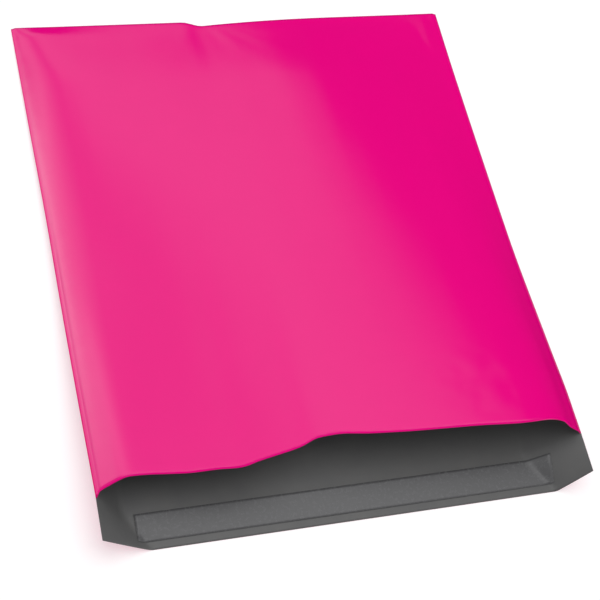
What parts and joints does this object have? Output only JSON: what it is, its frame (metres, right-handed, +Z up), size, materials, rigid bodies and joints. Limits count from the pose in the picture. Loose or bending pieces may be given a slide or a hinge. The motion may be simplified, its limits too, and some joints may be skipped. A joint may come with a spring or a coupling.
{
  "type": "poly mailer bag",
  "caption": "Plastic film mailing bag with welded sides, a folded closed end, an open mouth and a self-seal closing lip, lying flat and slightly opened.",
  "frame": {"origin": "under the middle of the bag, on the surface that its back panel lies on", "axes": "+Z up out of the front panel, +Y from the mouth to the folded closed end, +X across the bag to the right as seen from the mouth"},
  "size_m": [0.43, 0.5181, 0.06],
  "materials": {
    "film": "satin hot pink polyethylene film outside, dark grey inside",
    "adhesive": "clear, slightly milky hot-melt adhesive, glossy and tacky",
    "liner": "clear siliconed release film, glossy"
  },
  "bodies": {
    "root": {"mailer_film": "film", "adhesive_strip": "adhesive", "release_liner": "liner"}
  },
  "joints": []
}
